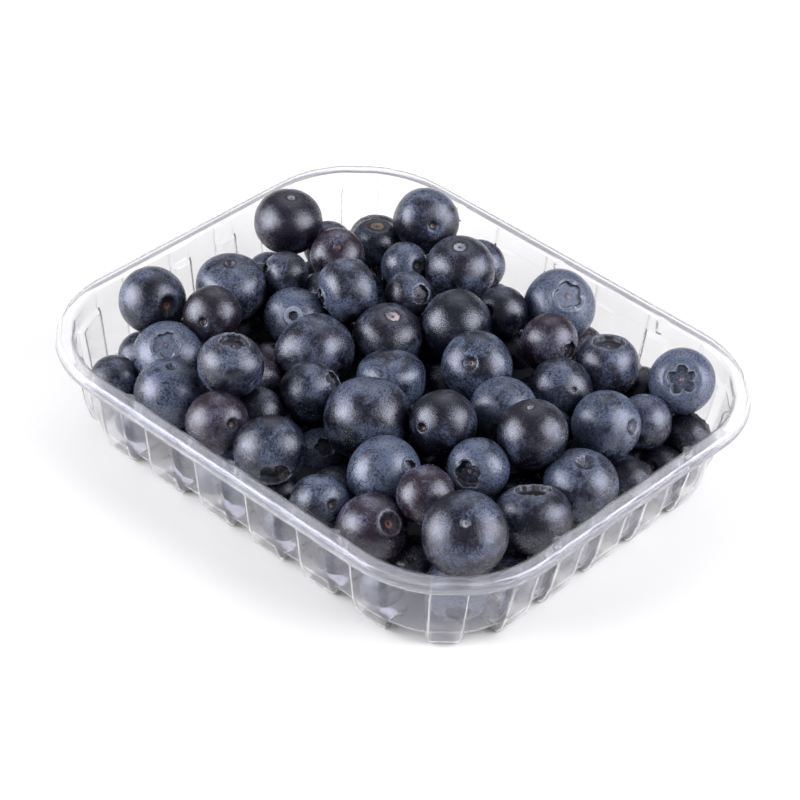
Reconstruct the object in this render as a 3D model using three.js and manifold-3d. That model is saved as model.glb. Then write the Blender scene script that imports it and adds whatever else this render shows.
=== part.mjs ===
// A punnet of blueberries: a thin clear thermoformed tray and the heap of fruit in it.
// Units are millimetres, +Z is up, and the origin is on the table under the middle of the tray.
// X runs along the tray's long side. The tray stands on small feet under its wall ribs.
import * as THREE from "three";
import { mergeVertices } from "three/addons/utils/BufferGeometryUtils.js";
import Module from "manifold-3d";

const wasm = await Module();
wasm.setup();

// ---- Driving dimensions of the tray ----
const RIM_LENGTH = 145;
const RIM_WIDTH = 123;
const RIM_CORNER_RADIUS = 30;
const TRAY_HEIGHT = 25.5;
const SKIRT_DROP = 2.7; // the rim's turned-down outer edge
const SKIRT_FLARE = 0.8;
const FLANGE_WIDTH = 4.2; // from the rim's outermost edge to the mouth
const BAND_HEIGHT = 4.6; // the smooth wall under the rim
const FOLD_HEIGHT = 5.8; // where the wall turns in towards the floor
const FLOOR_HEIGHT = 2.7; // underside of the floor, above the feet
const SHEET = 0.8; // wall thickness

// ---- Ribs: panels of the wall that stand out, each with a foot below it ----
const RIB_WIDTH = 8.8;
const RIB_SIDE = 0.9; // run of a rib's sloping side along the wall
const RIB_DEPTH = 1.1;
const LONG_SIDE_RIBS = 6;
const LONG_SIDE_PITCH = 16.4;
const SHORT_SIDE_RIBS = 5;
const SHORT_SIDE_PITCH = 15.5;
const CORNER_STEP = Math.PI / 14; // widest gap between stations on a corner

// ---- Lugs: small posts under the rim that keep stacked empty trays apart ----
const LUG_RADIUS = 1;
const LUG_INSET = 4.9;
const LUG_BOTTOM = 21.4;
const LUG_TOP = 24.9;
const LUG_SIDES = 8;
const LONG_SIDE_LUGS = [-32.8, 0, 32.8];
const SHORT_SIDE_LUGS = [-23.25, 23.25];

// ---- Fruit ----
const SMALL_RADIUS = 6.4; // a top berry under this is made with fewer faces
const FINE_SWELL = 1.035; // these make up for what flat faces cut off a round berry
const COARSE_SWELL = 1.09;
const FLOOR_TOP = FLOOR_HEIGHT + SHEET;
const FRUIT_GAP = 0.4; // clearance between fruit and tray
const HIDDEN_FLATNESS = 0.88;
const HIDDEN_JITTER = 1.6;
// The berries under the ones that show lie in two layers, filled from the floor up.
const FLOOR_LAYER = { height: 11.5, pitch: 15.4, narrow: 13, wide: 16.5, ceiling: 17 };
const FILL_LAYER = { height: 20, pitch: 12, narrow: 11.5, wide: 14, ceiling: 22 };
const SETTLE_PASSES = 160;
const SQUEEZE_LIMIT = 1.3; // a hidden berry pressed harder than this is left out
const TOUCH = 0.95; // neighbours sit this close, as a share of their two radii
const CORE_BOTTOM = 8;
const CORE_TOP = 20;
const CORE_INSET = 14;
const CORE_CORNER = 14;
const CORE_CORNER_POINTS = 4;
const SEED = 20117;

// The berries that show on top of the heap: x, y, z, width, flatness along the calyx axis,
// and the calyx's turn about +Z from +X and its tilt above the horizon, in degrees.
const TOP_BERRIES = [
  [-54, 17, 27.5, 17.2, 0.86, 70, 88],
  [-32, 42, 28, 16.5, 0.8, 0, -80],
  [-57, -27, 25, 16.4, 0.9, 164, -16],
  [-46, -12, 26, 16.7, 0.84, 120, 80],
  [-38, 18, 27, 12.3, 0.88, 150, -40],
  [-40, 33, 22, 12.5, 0.88, 200, -70],
  [-40, 1, 27, 11.8, 0.95, 64, -27],
  [-57, 10, 17, 12, 0.95, 0, 60],
  [-49, 26, 20, 12.6, 0.95, 0, 60],
  [-22, 4, 30, 13.8, 1.04, 130, -50],
  [-24, 27, 26, 11.6, 0.92, 179, -34],
  [-12, 34, 28, 17.2, 0.88, 0, -89],
  [-16, 46, 21, 13, 0.95, 90, 20],
  [-12, 14, 29, 11.2, 0.93, 11, 37],
  [-30, -6, 25, 14.7, 0.88, -50, 38],
  [-40, -25, 26, 13.6, 0.94, 120, -60],
  [-45, -9, 13, 12, 0.95, 0, 45],
  [-42, -38, 23, 16.4, 0.88, -62, 56],
  [-58, -34, 14, 12, 0.95, 0, 30],
  [-48, -49, 20, 12, 0.95, 0, 30],
  [-31, -49, 23, 16.8, 0.93, 30, -80],
  [-18, -39, 32, 15.6, 0.88, 0, 89],
  [-16, -14, 26, 19.6, 0.84, 40, -85],
  [-6, 2, 26, 17.4, 0.88, 30, -85],
  [4, 15, 29, 16.4, 0.84, 140, -70],
  [5, 29, 26, 12.6, 1, 113, -41],
  [12, 43, 25, 17.8, 0.92, -6, 57],
  [21, 27, 27, 14.4, 0.93, 183, -19],
  [9, 31, 15, 13, 0.95, 0, 20],
  [35, 34, 24, 15.6, 0.93, -10, 84],
  [52, 41, 25, 15.9, 0.9, -50, 38],
  [17, 7, 29, 16.9, 0.87, 20, -75],
  [4, -10, 25, 15.9, 0.8, 130, 72],
  [-5, -26, 25, 14.3, 0.96, 50, 39],
  [-11, -36, 22, 12.5, 0.93, 0, 20],
  [-12, -50, 25, 14.5, 0.98, 100, -60],
  [2, -47, 24, 16.7, 0.9, -50, -15],
  [12, -24, 25, 19.8, 0.9, 110, -50],
  [26, -16, 29, 15.4, 0.96, 92, -13],
  [30, 0, 28, 15.8, 0.88, -51, 2],
  [33, 19, 24, 15.4, 0.92, 60, 70],
  [40, 42, 15, 12.5, 0.95, 0, 20],
  [48, 19, 22, 16.1, 0.96, 193, -20],
  [59, 20, 26, 13, 1, 30, -30],
  [57, 38, 14, 12, 0.95, 0, 30],
  [45, -4, 28, 16.3, 0.96, 20, -80],
  [25, -34, 25, 17, 0.88, 8, 36],
  [40, -18, 25, 14.2, 0.9, -68, 25],
  [3, -30, 14, 12.5, 0.92, 0, 40],
  [20, -49, 21, 13.5, 0.87, 60, -70],
  [33, -46, 20, 16.3, 0.96, -7, 44],
  [40, -35, 27, 12.9, 1.04, 150, -30],
  [57, -41, 26, 18.3, 0.86, 20, -80],
  [61, -21, 22, 15.8, 0.86, -60, 75],
  [49, -30, 19, 12.5, 0.88, 40, -60],
  [46, -9, 13, 12, 0.95, 0, 30],
  [60, -5, 24, 16.9, 0.94, -29, 74],
  [59, 14, 14, 12.5, 0.95, 0, 30],
  [57, 28, 12, 12, 0.95, 0, 30],
  [28, -17, 14, 12, 0.95, 0, 30],
  [45, -41, 12, 12, 0.95, 0, -60],
  [14, -37, 13, 12, 0.95, 0, 30],
  [5, -46, 11, 12, 0.95, 0, 30],
  [8, 7, 17, 12, 0.95, 0, 30],
];

const radians = THREE.MathUtils.degToRad;

// ---------------------------------------------------------------- the tray

// Distances along the outline are measured where the wall is, and start at the middle of a side.
const WALL_RADIUS = RIM_CORNER_RADIUS - FLANGE_WIDTH;
const HALF_LONG = RIM_LENGTH / 2 - RIM_CORNER_RADIUS;
const HALF_SHORT = RIM_WIDTH / 2 - RIM_CORNER_RADIUS;
const CORNER_ARC = (WALL_RADIUS * Math.PI) / 2;

// The four sides and the corner that follows each, going round from the +X side.
const SIDES = [
  shortSide(0),
  longSide(90),
  shortSide(180),
  longSide(270),
];

function shortSide(turn) {
  return {
    turn,
    half: HALF_SHORT,
    reach: RIM_LENGTH / 2,
    ribs: SHORT_SIDE_RIBS,
    pitch: SHORT_SIDE_PITCH,
    lugs: SHORT_SIDE_LUGS,
  };
}

function longSide(turn) {
  return {
    turn,
    half: HALF_LONG,
    reach: RIM_WIDTH / 2,
    ribs: LONG_SIDE_RIBS,
    pitch: LONG_SIDE_PITCH,
    lugs: LONG_SIDE_LUGS,
  };
}

// The point of a side's outline at a distance along it, moved in by inset. Past the straight
// part the outline follows the corner before or after it.
function outlinePoint(side, along, inset) {
  const over = Math.max(Math.abs(along) - side.half, 0);
  const sign = Math.sign(along);
  const angle = over / WALL_RADIUS;
  const radius = RIM_CORNER_RADIUS - inset;
  const outward = side.reach - RIM_CORNER_RADIUS + radius * Math.cos(angle);
  const sideways = sign * (Math.min(Math.abs(along), side.half) + radius * Math.sin(angle));
  const turn = radians(side.turn);
  return [
    outward * Math.cos(turn) - sideways * Math.sin(turn),
    outward * Math.sin(turn) + sideways * Math.cos(turn),
  ];
}

// The places of the ribs on one side: its own ribs and the one in the corner after it.
function ribCentres(side) {
  const centres = [];
  for (let i = 0; i < side.ribs; i++) centres.push((i - (side.ribs - 1) / 2) * side.pitch);
  centres.push(side.half + CORNER_ARC / 2);
  return centres;
}

// A station is a place along the outline, on a rib or between two.
function stationsOf(side) {
  const stations = [];
  for (const centre of ribCentres(side)) {
    const edge = RIB_WIDTH / 2;
    stations.push({ side, along: centre - edge - RIB_SIDE, rib: false });
    stations.push({ side, along: centre - edge, rib: true });
    stations.push({ side, along: centre + edge, rib: true });
    stations.push({ side, along: centre + edge + RIB_SIDE, rib: false });
  }
  return stations;
}

// Corners get more stations wherever two neighbours lie too far apart to look round.
function withRoundCorners(stations) {
  const round = [];
  stations.forEach((station, i) => {
    round.push(station);
    const side = station.side;
    const next = stations[(i + 1) % stations.length];
    const cornerStart = Math.max(station.along, side.half);
    const nextAlong = next.side === side ? next.along : nextSideDistance(side, next);
    if (nextAlong <= side.half) return;
    const span = (nextAlong - cornerStart) / WALL_RADIUS;
    const extra = Math.floor(span / CORNER_STEP);
    for (let k = 1; k <= extra; k++) {
      const along = cornerStart + ((nextAlong - cornerStart) * k) / (extra + 1);
      round.push({ side, along, rib: station.rib && next.rib });
    }
  });
  return round;
}

// A station of the next side, as a distance along this one.
function nextSideDistance(side, next) {
  return side.half + CORNER_ARC + next.side.half + next.along;
}

// A ring of the tray's section: inset and height on a rib, and between ribs.
function ring(inset, z, insetBetween = inset, zBetween = z) {
  return { rib: [inset, z], between: [insetBetween, zBetween] };
}

// A ring of the ribbed wall, which lies deeper between ribs.
function wallRing(inset, z) {
  return ring(inset, z, inset + RIB_DEPTH, z);
}

const BAND_BOTTOM = TRAY_HEIGHT - BAND_HEIGHT;
const BAND_LEAN = 0.4; // how far the smooth band slopes in below the mouth
const LEDGE = 0.6; // how far in from the mouth the ribs start
const WALL_LEAN = 2.7; // how far the ribbed wall slopes in from there to the fold

// The upper or inner face, from the skirt's tip over the rim and down to the floor.
const INNER_RINGS = [
  ring(0, TRAY_HEIGHT - SKIRT_DROP),
  ring(SKIRT_FLARE, TRAY_HEIGHT),
  ring(FLANGE_WIDTH, TRAY_HEIGHT),
  ring(FLANGE_WIDTH + BAND_LEAN, BAND_BOTTOM),
  wallRing(FLANGE_WIDTH + LEDGE, BAND_BOTTOM - 0.4),
  wallRing(FLANGE_WIDTH + LEDGE + WALL_LEAN, FOLD_HEIGHT),
  ring(9.4, SHEET + 0.9, 10.2, FLOOR_TOP + 0.7),
  ring(10.3, SHEET, 11.6, FLOOR_TOP),
  ring(13, SHEET, 13, FLOOR_TOP),
  ring(14.2, FLOOR_TOP),
];

// The lower or outer face, from the floor's edge up under the rim to the skirt's tip.
const OUTER_RINGS = [
  ring(14.9, FLOOR_HEIGHT),
  ring(13.7, 0, 13.7, FLOOR_HEIGHT),
  ring(9.8, 0, 11.2, FLOOR_HEIGHT),
  ring(8.6, 1.4, 9.4, FLOOR_HEIGHT + 0.8),
  wallRing(FLANGE_WIDTH + LEDGE + WALL_LEAN - SHEET, FOLD_HEIGHT - 0.1),
  wallRing(FLANGE_WIDTH + LEDGE - SHEET, BAND_BOTTOM - 1.1),
  ring(FLANGE_WIDTH + BAND_LEAN - SHEET, BAND_BOTTOM - 0.2),
  ring(FLANGE_WIDTH - SHEET, TRAY_HEIGHT - SHEET),
  ring(SKIRT_FLARE + 0.7, TRAY_HEIGHT - SHEET),
  ring(SHEET, TRAY_HEIGHT - SKIRT_DROP),
];

function shellGeometry() {
  const stations = withRoundCorners(SIDES.flatMap(stationsOf));
  const rings = [...INNER_RINGS, ...OUTER_RINGS];
  const positions = [];
  for (const section of rings) {
    for (const station of stations) {
      const [inset, z] = station.rib ? section.rib : section.between;
      positions.push(...outlinePoint(station.side, station.along, inset), z);
    }
  }
  const topCentre = positions.length / 3;
  positions.push(0, 0, FLOOR_TOP);
  const underCentre = positions.length / 3;
  positions.push(0, 0, FLOOR_HEIGHT);
  const faces = [];
  const count = stations.length;
  const innerFloor = INNER_RINGS.length - 1;
  for (let i = 0; i < count; i++) {
    const j = (i + 1) % count;
    rings.forEach((_, r) => {
      if (r === innerFloor) return; // the floor closes this step with its two fans
      const a = r * count;
      const b = ((r + 1) % rings.length) * count;
      faces.push(a + i, a + j, b + j, a + i, b + j, b + i);
    });
    const under = (innerFloor + 1) * count;
    faces.push(innerFloor * count + i, innerFloor * count + j, topCentre);
    faces.push(under + j, under + i, underCentre);
  }
  const geometry = new THREE.BufferGeometry();
  geometry.setAttribute("position", new THREE.Float32BufferAttribute(positions, 3));
  geometry.setIndex(faces);
  return geometry;
}

function lugSolid(side, along) {
  const height = LUG_TOP - LUG_BOTTOM;
  const geometry = new THREE.CylinderGeometry(LUG_RADIUS, LUG_RADIUS, height, LUG_SIDES);
  geometry.rotateX(Math.PI / 2);
  geometry.translate(...outlinePoint(side, along, LUG_INSET), LUG_BOTTOM + height / 2);
  return asSolid(geometry);
}

function trayGeometry() {
  const lugs = SIDES.flatMap((side) => side.lugs.map((along) => lugSolid(side, along)));
  return asGeometry(wasm.Manifold.union([asSolid(shellGeometry()), ...lugs]));
}

// ---------------------------------------------------------------- solids and meshes

function asSolid(geometry) {
  const bare = geometry.clone();
  bare.deleteAttribute("normal");
  bare.deleteAttribute("uv");
  const merged = mergeVertices(bare, 1e-4);
  const vertProperties = new Float32Array(merged.attributes.position.array);
  const triVerts = new Uint32Array(merged.index.array);
  return new wasm.Manifold(new wasm.Mesh({ numProp: 3, vertProperties, triVerts }));
}

function asGeometry(solid) {
  const mesh = solid.getMesh();
  const geometry = new THREE.BufferGeometry();
  geometry.setAttribute("position", new THREE.BufferAttribute(mesh.vertProperties, 3));
  geometry.setIndex(new THREE.BufferAttribute(mesh.triVerts, 1));
  return geometry;
}

// ---------------------------------------------------------------- the heap of fruit

// A small seeded generator, so that the heap is the same each time.
let randomState = SEED;
function random() {
  randomState = (randomState * 16807) % 2147483647;
  return randomState / 2147483647;
}

function topBerries() {
  return TOP_BERRIES.map(([x, y, z, width, flatness, turn, tilt]) => {
    const radius = width / 2;
    const coarse = radius < SMALL_RADIUS;
    return berryOf({ at: [x, y, z], radius, flatness, turn, tilt, coarse, fixed: false });
  });
}

// A berry's reach is its radius out to the corners of its faces.
function berryOf(berry) {
  return { ...berry, reach: berry.radius * (berry.coarse ? COARSE_SWELL : FINE_SWELL) };
}

// A layer of hidden berries: a staggered grid with uneven sizes and places.
function hiddenBerries(layer) {
  const berries = [];
  const rowStep = (layer.pitch * Math.sqrt(3)) / 2;
  const rows = Math.floor(RIM_WIDTH / rowStep / 2);
  const columns = Math.floor(RIM_LENGTH / layer.pitch / 2) + 1;
  for (let row = -rows; row <= rows; row++) {
    for (let column = -columns; column <= columns; column++) {
      const shift = row % 2 === 0 ? 0 : layer.pitch / 2;
      const x = column * layer.pitch + shift + (random() - 0.5) * HIDDEN_JITTER;
      const y = row * rowStep + (random() - 0.5) * HIDDEN_JITTER;
      const radius = (layer.narrow + random() * (layer.wide - layer.narrow)) / 2;
      const turn = random() * 360;
      const tilt = (random() - 0.5) * 180;
      const flatness = HIDDEN_FLATNESS;
      const at = [x, y, layer.height];
      const berry = berryOf({ at, radius, flatness, turn, tilt, coarse: true, fixed: false });
      if (wallPush(berry).depth < radius) berries.push(berry);
    }
  }
  return berries;
}

// How far the wall between ribs stands in from the rim's edge at a height.
function wallInset(z) {
  if (z > BAND_BOTTOM) return FLANGE_WIDTH + BAND_LEAN;
  const slope = WALL_LEAN / (BAND_BOTTOM - FOLD_HEIGHT);
  const below = BAND_BOTTOM - Math.max(z, FOLD_HEIGHT);
  return FLANGE_WIDTH + LEDGE + RIB_DEPTH + below * slope;
}

// How far a ball reaches sideways at a height.
function reachAt(berry, height) {
  const off = berry.at[2] - height;
  return Math.sqrt(Math.max(berry.reach ** 2 - off ** 2, 0));
}

// How far a berry reaches past the wall, and which way is out. The wall leans in, so a berry
// is tried at its middle or the rim, at the foot of the smooth band and at the fold.
function wallPush(berry) {
  const [x, y, z] = berry.at;
  const dx = Math.abs(x) - HALF_LONG;
  const dy = Math.abs(y) - HALF_SHORT;
  const corner = Math.hypot(Math.max(dx, 0), Math.max(dy, 0));
  const edge = corner + Math.min(Math.max(dx, dy), 0) - RIM_CORNER_RADIUS;
  let depth = -Infinity;
  for (const height of [Math.min(z, TRAY_HEIGHT), BAND_BOTTOM, FOLD_HEIGHT]) {
    const reach = reachAt(berry, height);
    if (reach > 0) depth = Math.max(depth, edge + wallInset(height) + reach + FRUIT_GAP);
  }
  let out = dx > dy ? [Math.sign(x), 0] : [0, Math.sign(y)];
  if (dx > 0 && dy > 0) out = [(Math.sign(x) * dx) / corner, (Math.sign(y) * dy) / corner];
  return { depth, out };
}

const LUG_PLACES = SIDES.flatMap((side) =>
  side.lugs.map((along) => outlinePoint(side, along, LUG_INSET)),
);

function keepOffLugs(berry) {
  const height = Math.min(Math.max(berry.at[2], LUG_BOTTOM), LUG_TOP);
  const clearance = reachAt(berry, height) + LUG_RADIUS + FRUIT_GAP;
  for (const [x, y] of LUG_PLACES) {
    const away = [berry.at[0] - x, berry.at[1] - y];
    const distance = Math.hypot(...away);
    if (reachAt(berry, height) === 0 || distance >= clearance) continue;
    berry.at[0] += (away[0] / distance) * (clearance - distance);
    berry.at[1] += (away[1] / distance) * (clearance - distance);
  }
}

function keepInTray(berry) {
  const { depth, out } = wallPush(berry);
  if (depth > 0) {
    berry.at[0] -= out[0] * depth;
    berry.at[1] -= out[1] * depth;
  }
  keepOffLugs(berry);
  berry.at[2] = Math.max(berry.at[2], FLOOR_TOP + FRUIT_GAP + berry.reach);
}

// How far two berries press into each other, and the direction from the first to the second.
function contact(a, b) {
  const gap = [0, 1, 2].map((i) => b.at[i] - a.at[i]);
  const distance = Math.hypot(...gap);
  const depth = (a.radius + b.radius) * TOUCH - distance;
  return { depth, direction: gap.map((value) => value / distance) };
}

// Berries are pushed apart. The new ones give way to those already placed, and two new ones
// share the move.
function settle(berries) {
  for (let pass = 0; pass < SETTLE_PASSES; pass++) {
    for (let i = 0; i < berries.length; i++) {
      for (let j = i + 1; j < berries.length; j++) {
        const a = berries[i];
        const b = berries[j];
        if (a.fixed && b.fixed) continue;
        const { depth, direction } = contact(a, b);
        if (depth <= 0) continue;
        const share = a.fixed === b.fixed ? 0.5 : Number(b.fixed);
        direction.forEach((step, axis) => {
          a.at[axis] -= step * depth * share;
          b.at[axis] += step * depth * (1 - share);
        });
      }
    }
    berries.filter((berry) => !berry.fixed).forEach(keepInTray);
  }
  berries.forEach((berry) => {
    berry.fixed = true;
  });
}

// The placed berries with a hidden layer added, less the ones that found no room in it.
function withLayer(placed, layer) {
  const added = hiddenBerries(layer);
  settle([...placed, ...added]);
  const kept = [...placed];
  for (const berry of added) {
    const pressed = kept.some((other) => contact(berry, other).depth > SQUEEZE_LIMIT);
    if (!pressed && berry.at[2] < layer.ceiling) kept.push(berry);
  }
  return kept;
}

function allBerries() {
  const top = topBerries();
  settle(top);
  return [FLOOR_LAYER, FILL_LAYER].reduce(withLayer, top);
}

// A round ball of few faces: 80 where it shows well, and 32 where it is small or hidden.
function ballGeometry(berry) {
  if (berry.coarse) return new THREE.OctahedronGeometry(berry.reach, 1);
  return new THREE.IcosahedronGeometry(berry.reach, 1);
}

// One berry, flatter along its calyx axis.
function berrySolid(berry) {
  const geometry = ballGeometry(berry);
  const turn = radians(berry.turn);
  const tilt = radians(berry.tilt);
  const axis = new THREE.Vector3(
    Math.cos(tilt) * Math.cos(turn),
    Math.cos(tilt) * Math.sin(turn),
    Math.sin(tilt),
  );
  const upright = new THREE.Vector3(0, 0, 1);
  const rotation = new THREE.Quaternion().setFromUnitVectors(upright, axis);
  geometry.scale(1, 1, berry.flatness);
  geometry.applyQuaternion(rotation);
  geometry.translate(...berry.at);
  return asSolid(geometry);
}

// A plain block in the middle of the heap that ties the berries together.
function coreSolid() {
  const x = RIM_LENGTH / 2 - CORE_INSET - CORE_CORNER;
  const y = RIM_WIDTH / 2 - CORE_INSET - CORE_CORNER;
  const shape = new THREE.Shape();
  shape.absarc(x, y, CORE_CORNER, 0, Math.PI / 2);
  shape.absarc(-x, y, CORE_CORNER, Math.PI / 2, Math.PI);
  shape.absarc(-x, -y, CORE_CORNER, Math.PI, 1.5 * Math.PI);
  shape.absarc(x, -y, CORE_CORNER, 1.5 * Math.PI, 2 * Math.PI);
  const depth = CORE_TOP - CORE_BOTTOM;
  const options = { depth, bevelEnabled: false, curveSegments: CORE_CORNER_POINTS };
  const geometry = new THREE.ExtrudeGeometry(shape, options);
  geometry.translate(0, 0, CORE_BOTTOM);
  return asSolid(geometry);
}

// The fused heap. Gaps that fusing seals are filled, and loose scraps are dropped.
function heapGeometry() {
  const solids = allBerries().map(berrySolid);
  const fused = wasm.Manifold.union([coreSolid(), ...solids]);
  const bodies = fused.decompose();
  const largest = bodies.reduce((best, body) => (body.volume() > best.volume() ? body : best));
  return asGeometry(largest);
}

// ---------------------------------------------------------------- the object

const clearPlastic = new THREE.MeshStandardMaterial({
  color: 0xe6e8ee,
  roughness: 0.1,
  metalness: 0,
  transparent: true,
  opacity: 0.35,
});
const berrySkin = new THREE.MeshStandardMaterial({ color: 0x2b3046, roughness: 0.5, metalness: 0 });

function named(name, geometry, material) {
  const mesh = new THREE.Mesh(geometry, material);
  mesh.name = name;
  return mesh;
}

const punnet = new THREE.Group();
punnet.add(named("tray", trayGeometry(), clearPlastic));
punnet.add(named("berries", heapGeometry(), berrySkin));

export default punnet;
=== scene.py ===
"""The looks of a punnet of blueberries: a clear thermoformed tray heaped with fruit.

Lengths are millimetres and turned to metres as the meshes are made. Only the lights, the
floor and the depth of bumps are given in metres.
"""
import math

import bpy
import numpy as np
from mathutils import Matrix, Vector


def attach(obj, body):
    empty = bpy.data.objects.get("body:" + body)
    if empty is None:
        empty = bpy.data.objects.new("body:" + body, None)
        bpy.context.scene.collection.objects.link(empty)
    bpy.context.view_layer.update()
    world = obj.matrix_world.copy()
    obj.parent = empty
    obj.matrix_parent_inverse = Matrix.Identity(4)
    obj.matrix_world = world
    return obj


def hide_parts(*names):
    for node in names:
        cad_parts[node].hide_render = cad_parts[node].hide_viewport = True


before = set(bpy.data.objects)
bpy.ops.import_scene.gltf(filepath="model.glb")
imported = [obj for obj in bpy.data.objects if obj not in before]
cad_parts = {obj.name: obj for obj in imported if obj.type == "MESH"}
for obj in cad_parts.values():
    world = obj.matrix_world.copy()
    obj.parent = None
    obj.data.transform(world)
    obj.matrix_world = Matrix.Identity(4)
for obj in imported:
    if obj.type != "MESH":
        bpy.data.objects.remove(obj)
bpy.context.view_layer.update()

MM = 0.001

# ---- Camera: fitted to the tray's rim and feet ----
CAMERA_PLACE = (364.4, -429.5, 448.7)
CAMERA_AZIMUTH = 40.3
CAMERA_ELEVATION = 37.78
CAMERA_ROLL = 4.21
CAMERA_LENS = 134.0
CAMERA_SENSOR = 36.0
CAMERA_NEAREST = 10.0  # nothing nearer is drawn

# ---- Lights and floor, in metres and watts ----
# Each softbox: the way to it from the part, how far off it is, its width, height and power.
SOFTBOXES = {
    "softbox_left": ((-0.60, -0.76, 0.30), 0.75, 0.7, 0.64, 12.0),
    "softbox_right": ((0.76, 0.39, 0.51), 0.75, 0.66, 0.66, 8.7),
    "overhead": ((-0.38, 0.45, 0.75), 1.1, 0.9, 0.9, 2.6),
}
SOFTBOX_COLOUR = (0.95, 0.96, 1.0)
AIM_HEIGHT = 0.02  # the softboxes face this point over the middle of the floor
SKY_COLOUR = (0.98, 0.975, 1.0)
SKY_STRENGTH = 0.2
FLOOR_HALF = 3.0
FLOOR_COLOUR = (0.94, 0.925, 0.905)

# ---- Tray ----
RIM_LENGTH = 145.0
RIM_WIDTH = 123.0
RIM_CORNER_RADIUS = 30.0
TRAY_HEIGHT = 25.5
FLANGE_WIDTH = 4.2
SHEET = 0.45
RIB_WIDTH = 8.8
RIB_SIDE = 0.95
RIB_DEPTH = 1.8
RIB_ROUNDING = 0.65
RIB_STEPS = 4
# Ribs are whiter on their left edge, as seen from outside, than on their right: partly stress
# whitening, and the difference between the edges is a painted highlight.
RIB_WHITE_AND_HIGHLIGHT = 0.5
CREASE_SHARPNESS = 3
CREASE_BOTTOM = 5.0
FAR_CREASE = 0.2  # a rib's other edge is hardly whitened
BAND_FLUTE = 0.3  # the ribs go on faintly up the smooth band
LONG_SIDE_RIBS = 6
LONG_SIDE_PITCH = 16.4
SHORT_SIDE_RIBS = 5
SHORT_SIDE_PITCH = 15.5
WALL_RADIUS = RIM_CORNER_RADIUS - FLANGE_WIDTH
HALF_LONG = RIM_LENGTH / 2 - RIM_CORNER_RADIUS
HALF_SHORT = RIM_WIDTH / 2 - RIM_CORNER_RADIUS
CORNER_ARC = WALL_RADIUS * math.pi / 2
LUG_WIDTH = 2.2
LUG_DEPTH = 1.3
LUG_BOTTOM = 21.4
LUG_TOP = 24.9
LUG_RISE = 0.7  # the height over which a lug grows out, at its bottom and at its top
LUG_WHITE = 0.2
LUG_STEPS = 4  # places on each side of a lug's middle, a seventh of its width apart
LUG_CUTS = 7
LONG_SIDE_LUGS = (-32.8, 0.0, 32.8)
SHORT_SIDE_LUGS = (-23.25, 23.25)
WALL_FROM = 3.0  # an inset greater than this is wall or floor, not flange

# The sheet's middle surface, as (inset from the rim's edge, height, radius of the bend,
# how white the sheet is along the bend, partly stress whitening and partly painted highlight).
FLANGE_SECTION = (
    (0.23, 22.8, 0.0, 0.5),
    (1.0, 25.28, 0.7, 0.3),
    (4.15, 25.28, 1.2, 0.12),
)
RIB_SECTION = FLANGE_SECTION + (
    (4.4, 20.9, 0.3, 0.2),
    (4.6, 20.5, 0.3, 0.2),
    (7.15, 5.8, 0.5, 0.4),
    (8.7, 1.3, 1.0, 0.0),
    (9.9, 0.23, 0.8, 0.0),
    (13.1, 0.23, 0.8, 0.1),
    (14.4, 2.93, 0.8, 0.1),
    (18.0, 2.93, 0.0, 0.0),
)
BETWEEN_SECTION = FLANGE_SECTION + (
    (4.4 + BAND_FLUTE, 20.9, 0.3, 0.2),
    (6.2, 20.3, 0.4, 0.2),
    (8.95, 3.9, 0.4, 0.4),
    (9.7, 3.1, 0.4, 0.0),
    (11.2, 2.93, 0.4, 0.0),
    (13.1, 2.93, 0.0, 0.0),
    (14.4, 2.93, 0.0, 0.0),
    (18.0, 2.93, 0.0, 0.0),
)
BEND_STEPS = 4
BEND_SHARPNESS = 2
RUN_STEPS = (1, 3, 6, 1, 4, 2, 1, 1, 2, 1)
BEND_SHARE = 0.45  # the most that a bend takes of the run on either side of it
LEAST_BEND = 0.02
LONGEST_STEP = 2.2
SHORTEST_STEP = 0.02
SAME_PLACE = 0.001  # places no further apart than this are one
FLOOR_RINGS = (0.8, 0.6, 0.4, 0.2)

# ---- Heap ----
BAND_BOTTOM = 20.9
FOLD_HEIGHT = 5.8
BAND_INSET = 4.8
WALL_TOP_INSET = 5.9
WALL_LEAN = 2.7
FLOOR_TOP = 3.2
FRUIT_GAP = 0.15
LUG_MIDDLE = 0.7  # how far inside the wall a lug's middle is
LUG_RADIUS = 1.0
TOUCH = 0.955
NEAR_ENOUGH = 1.5  # one pass looks at no pair with a wider gap
SETTLE_PASSES = 160
SQUEEZE_LIMIT = 1.3
SEED = 20117
PAINT_SEED = SEED + 7
HIDDEN_JITTER = 1.6
WEDGE_HIGHEST = 14.0
WEDGE_NEAR = 1.5
WEDGE_RADII = (4.6, 5.6)
# Layers of hidden berries: height, pitch, narrowest and widest berry, highest centre that is
# kept and how far clear of the wall.
HIDDEN_LAYERS = (
    (11.5, 15.4, 13.0, 16.5, 17.0, -1.0),
    (20.0, 12.0, 11.5, 14.0, 22.0, -1.0),
    (17.0, 10.0, 10.5, 13.0, 21.0, 8.0),
    (13.0, 8.5, 9.6, 11.6, 19.5, 2.0),
)
# Hidden berries with their middle above this stay out of the dips, given as x, y and reach,
# and keep this far clear of the two far walls, which lie this way.
DIP_HEIGHT = 13.0
DIPS = ((-1, 38, 4), (47, -49, 5))
FAR_CLEAR = 8.0
FAR_SIDE = (-1, 1)

# ---- Core ----
CORE_INSET = 17.5
CORE_STEPS = 12
CORE_RINGS = 24
CORE_MIDDLE = 10.5
CORE_HALF = 4.5
CORE_SPREAD = 0.4  # powers that square off the core's section, outwards and upwards
CORE_RISE = 0.5
CORE_LUMPS = ((0.6, 17, 5), (0.5, 11, -9))  # height, waves round and waves from top to bottom

# ---- Berries ----
# Scar colours, linear.
ORANGE = (0.30, 0.085, 0.022)
TAN = (0.30, 0.20, 0.11)
PINK = (0.50, 0.40, 0.43)
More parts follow.
